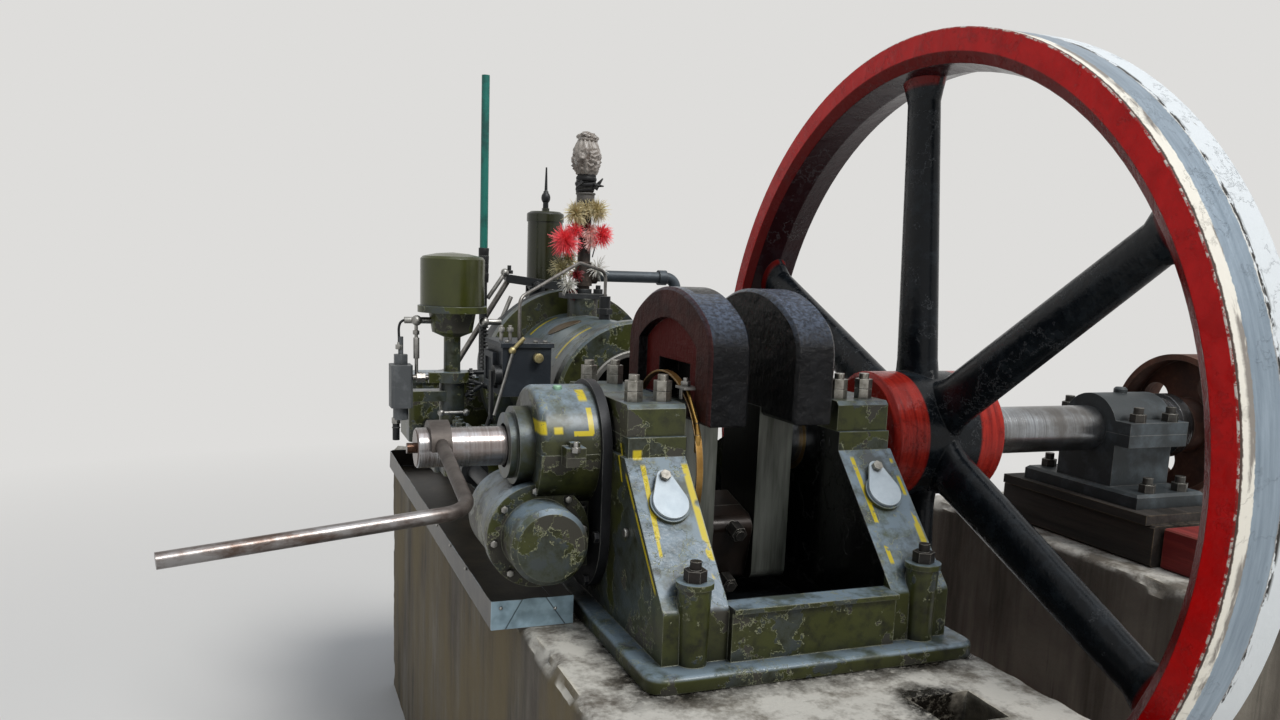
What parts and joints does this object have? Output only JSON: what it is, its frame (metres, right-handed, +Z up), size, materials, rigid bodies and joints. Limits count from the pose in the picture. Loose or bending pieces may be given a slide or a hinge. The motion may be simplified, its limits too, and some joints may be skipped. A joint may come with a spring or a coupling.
{
  "type": "stationary diesel engine",
  "caption": "Horizontal open-crank stationary diesel engine on a concrete plinth, with spoked flywheel, outboard bearing on its own pier, governor and starting handle.",
  "frame": {"origin": "on the ground, under the point where the crankshaft and cylinder axes cross", "axes": "+X along the crankshaft towards the flywheel, +Y from the crank to the cylinder head, +Z up"},
  "size_m": [2.226, 2.392, 1.94],
  "materials": {
    "concrete": "rough cast concrete, stained",
    "old_timber": "oil-soaked timber",
    "red_wood": "worn red paint on wood",
    "engine_paint": "worn dark olive paint on cast iron, oily",
    "governor_paint": "glossy olive paint",
    "lubricator_paint": "dark blue-grey paint",
    "black_iron": "oily black and dark red paint on cast iron",
    "head_iron": "dark grey iron",
    "machined_steel": "machined steel with an oil film",
    "bolt_steel": "oily steel nuts and studs",
    "liner_iron": "honed pale iron",
    "brass": "oily brass",
    "wheel_paint": "gloss red and black paint, worn white band and bare steel",
    "rusty_iron": "rusty brown iron",
    "pipe_iron": "weathered dark pipe",
    "grey_pipe": "grey pipe",
    "cover_aluminium": "bright cast plate",
    "galvanised": "galvanised sheet, oily inside",
    "teal_plastic": "teal pipe with black tape",
    "wrap_plastic": "dusty clear bag tied with black rubber"
  },
  "bodies": {
    "engine": {"engine_plinth": "concrete", "outboard_pier": "concrete", "pier_timber": "old_timber", "pier_board": "old_timber", "pier_block": "red_wood", "bed_frame": "engine_paint", "main_cap_left": "engine_paint", "main_cap_right": "engine_paint", "main_brasses": "brass", "cap_studs": "bolt_steel", "foundation_bolts": "bolt_steel", "cover_bolts": "bolt_steel", "gear_case_plate": "black_iron", "gear_case_upper": "engine_paint", "gear_case_lower": "engine_paint", "shaft_seal": "engine_paint", "side_shaft": "machined_steel", "side_shaft_bearing": "engine_paint", "cam_box": "engine_paint", "cylinder_jacket": "engine_paint", "cylinder_liner": "liner_iron", "piston": "head_iron", "cylinder_head": "head_iron", "head_nuts": "bolt_steel", "water_outlet": "pipe_iron", "water_stack": "pipe_iron", "water_branch": "grey_pipe", "stack_wrap": "wrap_plastic", "air_filter": "governor_paint", "rocker_bracket": "head_iron", "rocker_arm": "bolt_steel", "push_rod": "machined_steel", "valve_stem": "machined_steel", "governor_column": "engine_paint", "governor_drum": "governor_paint", "fuel_pump": "head_iron", "pump_link": "machined_steel", "lubricator": "lubricator_paint", "lubricator_drive": "brass", "check_valve": "brass", "oil_pipe": "machined_steel", "drip_tray": "galvanised", "breather_pipe": "teal_plastic", "outboard_bearing": "engine_paint", "outboard_cap": "engine_paint", "outboard_bolts": "bolt_steel"},
    "crank": {"crankshaft": "machined_steel", "counterweight_left": "black_iron", "counterweight_right": "black_iron", "oil_ring": "brass", "flywheel": "wheel_paint", "shaft_collars": "machined_steel", "pulley": "rusty_iron", "starting_handle": "bolt_steel"},
    "rod": {"rod_big_end": "rusty_iron", "rod_cap": "rusty_iron", "rod_bolts": "bolt_steel"},
    "left_cover": {"cover_left": "cover_aluminium"},
    "right_cover": {"cover_right": "cover_aluminium"}
  },
  "joints": [
    {"name": "crank_spin", "type": "hinge", "parent": "engine", "child": "crank", "pos_m": [0, 0, 1.13], "axis": [1, 0, 0], "continuous": true},
    {"name": "big_end_turn", "type": "hinge", "parent": "crank", "child": "rod", "pos_m": [0, 0, 0.94], "axis": [1, 0, 0], "continuous": true},
    {"name": "left_cover_swing", "type": "hinge", "parent": "engine", "child": "left_cover", "pos_m": [-0.2, -0.21069, 1.10961], "axis": [0, -0.7286, 0.6849], "range_deg": [-75, 0]},
    {"name": "right_cover_swing", "type": "hinge", "parent": "engine", "child": "right_cover", "pos_m": [0.2, -0.21069, 1.10961], "axis": [0, -0.7286, 0.6849], "range_deg": [0, 75]}
  ],
  "couplings": [
    {"joint": "big_end_turn", "follows": "crank_spin", "ratio": -1}
  ]
}
